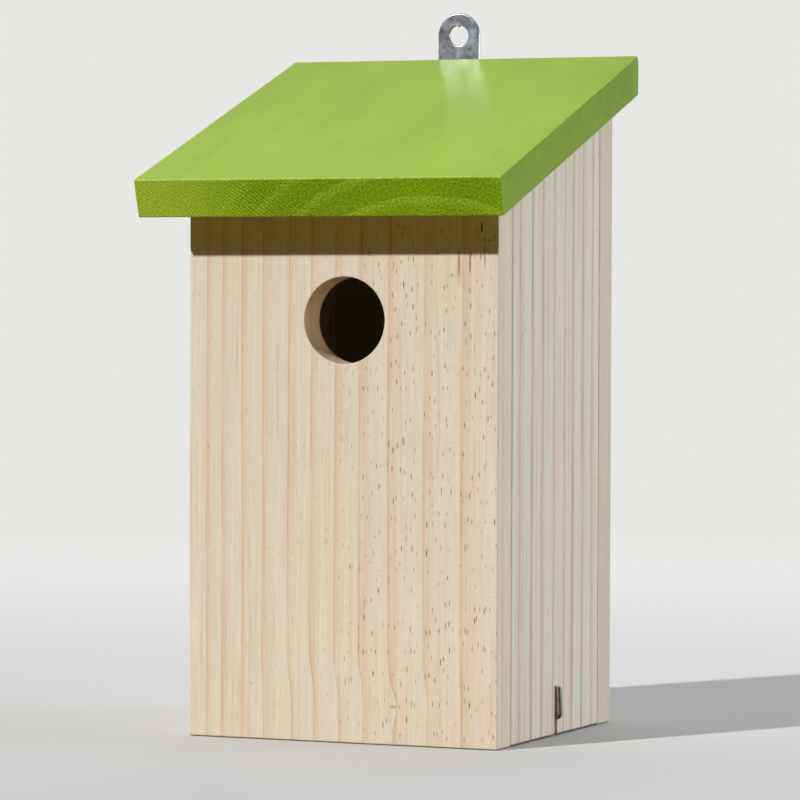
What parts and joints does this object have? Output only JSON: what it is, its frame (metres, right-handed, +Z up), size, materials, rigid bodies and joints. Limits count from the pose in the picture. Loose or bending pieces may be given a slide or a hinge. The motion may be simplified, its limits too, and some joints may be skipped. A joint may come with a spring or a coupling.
{
  "type": "birdhouse",
  "caption": "Softwood nest box with a painted sloping roof, a round entrance hole, a side that swings out for cleaning, a wire latch hook and a steel plate for hanging.",
  "frame": {"origin": "middle of the overall box's underside, on the surface it stands on", "axes": "+Z up; the front with the entrance hole faces -Y; the hinged side is at +X"},
  "size_m": [0.145, 0.1434, 0.2742],
  "materials": {
    "pine_board": "planed, unfinished",
    "green_paint": "semi-gloss green paint on planed wood",
    "zinc_plate": "zinc plated",
    "steel_wire": "dull zinc plated wire",
    "bright_steel": "drawn wire nail"
  },
  "bodies": {
    "box": {"front_panel": "pine_board", "back_panel": "pine_board", "left_side_panel": "pine_board", "floor_panel": "pine_board", "roof_panel": "green_paint", "hanger_plate": "zinc_plate", "hanger_screws": "zinc_plate", "front_pivot_nail": "bright_steel", "rear_pivot_nail": "bright_steel", "front_brads": "bright_steel", "back_brads": "bright_steel", "side_brads": "bright_steel", "roof_brads": "bright_steel"},
    "side_door": {"side_door": "pine_board"},
    "latch_hook": {"latch_hook": "steel_wire"}
  },
  "joints": [
    {"name": "side_door_swing", "type": "hinge", "parent": "box", "child": "side_door", "pos_m": [0.05525, 0.01217, 0.189], "axis": [0, -1, 0], "range_deg": [0, 110]},
    {"name": "latch_hook_turn", "type": "hinge", "parent": "box", "child": "latch_hook", "pos_m": [0.0634, 0.01317, 0.00675], "axis": [1, 0, 0], "range_deg": [-90, 90]}
  ]
}
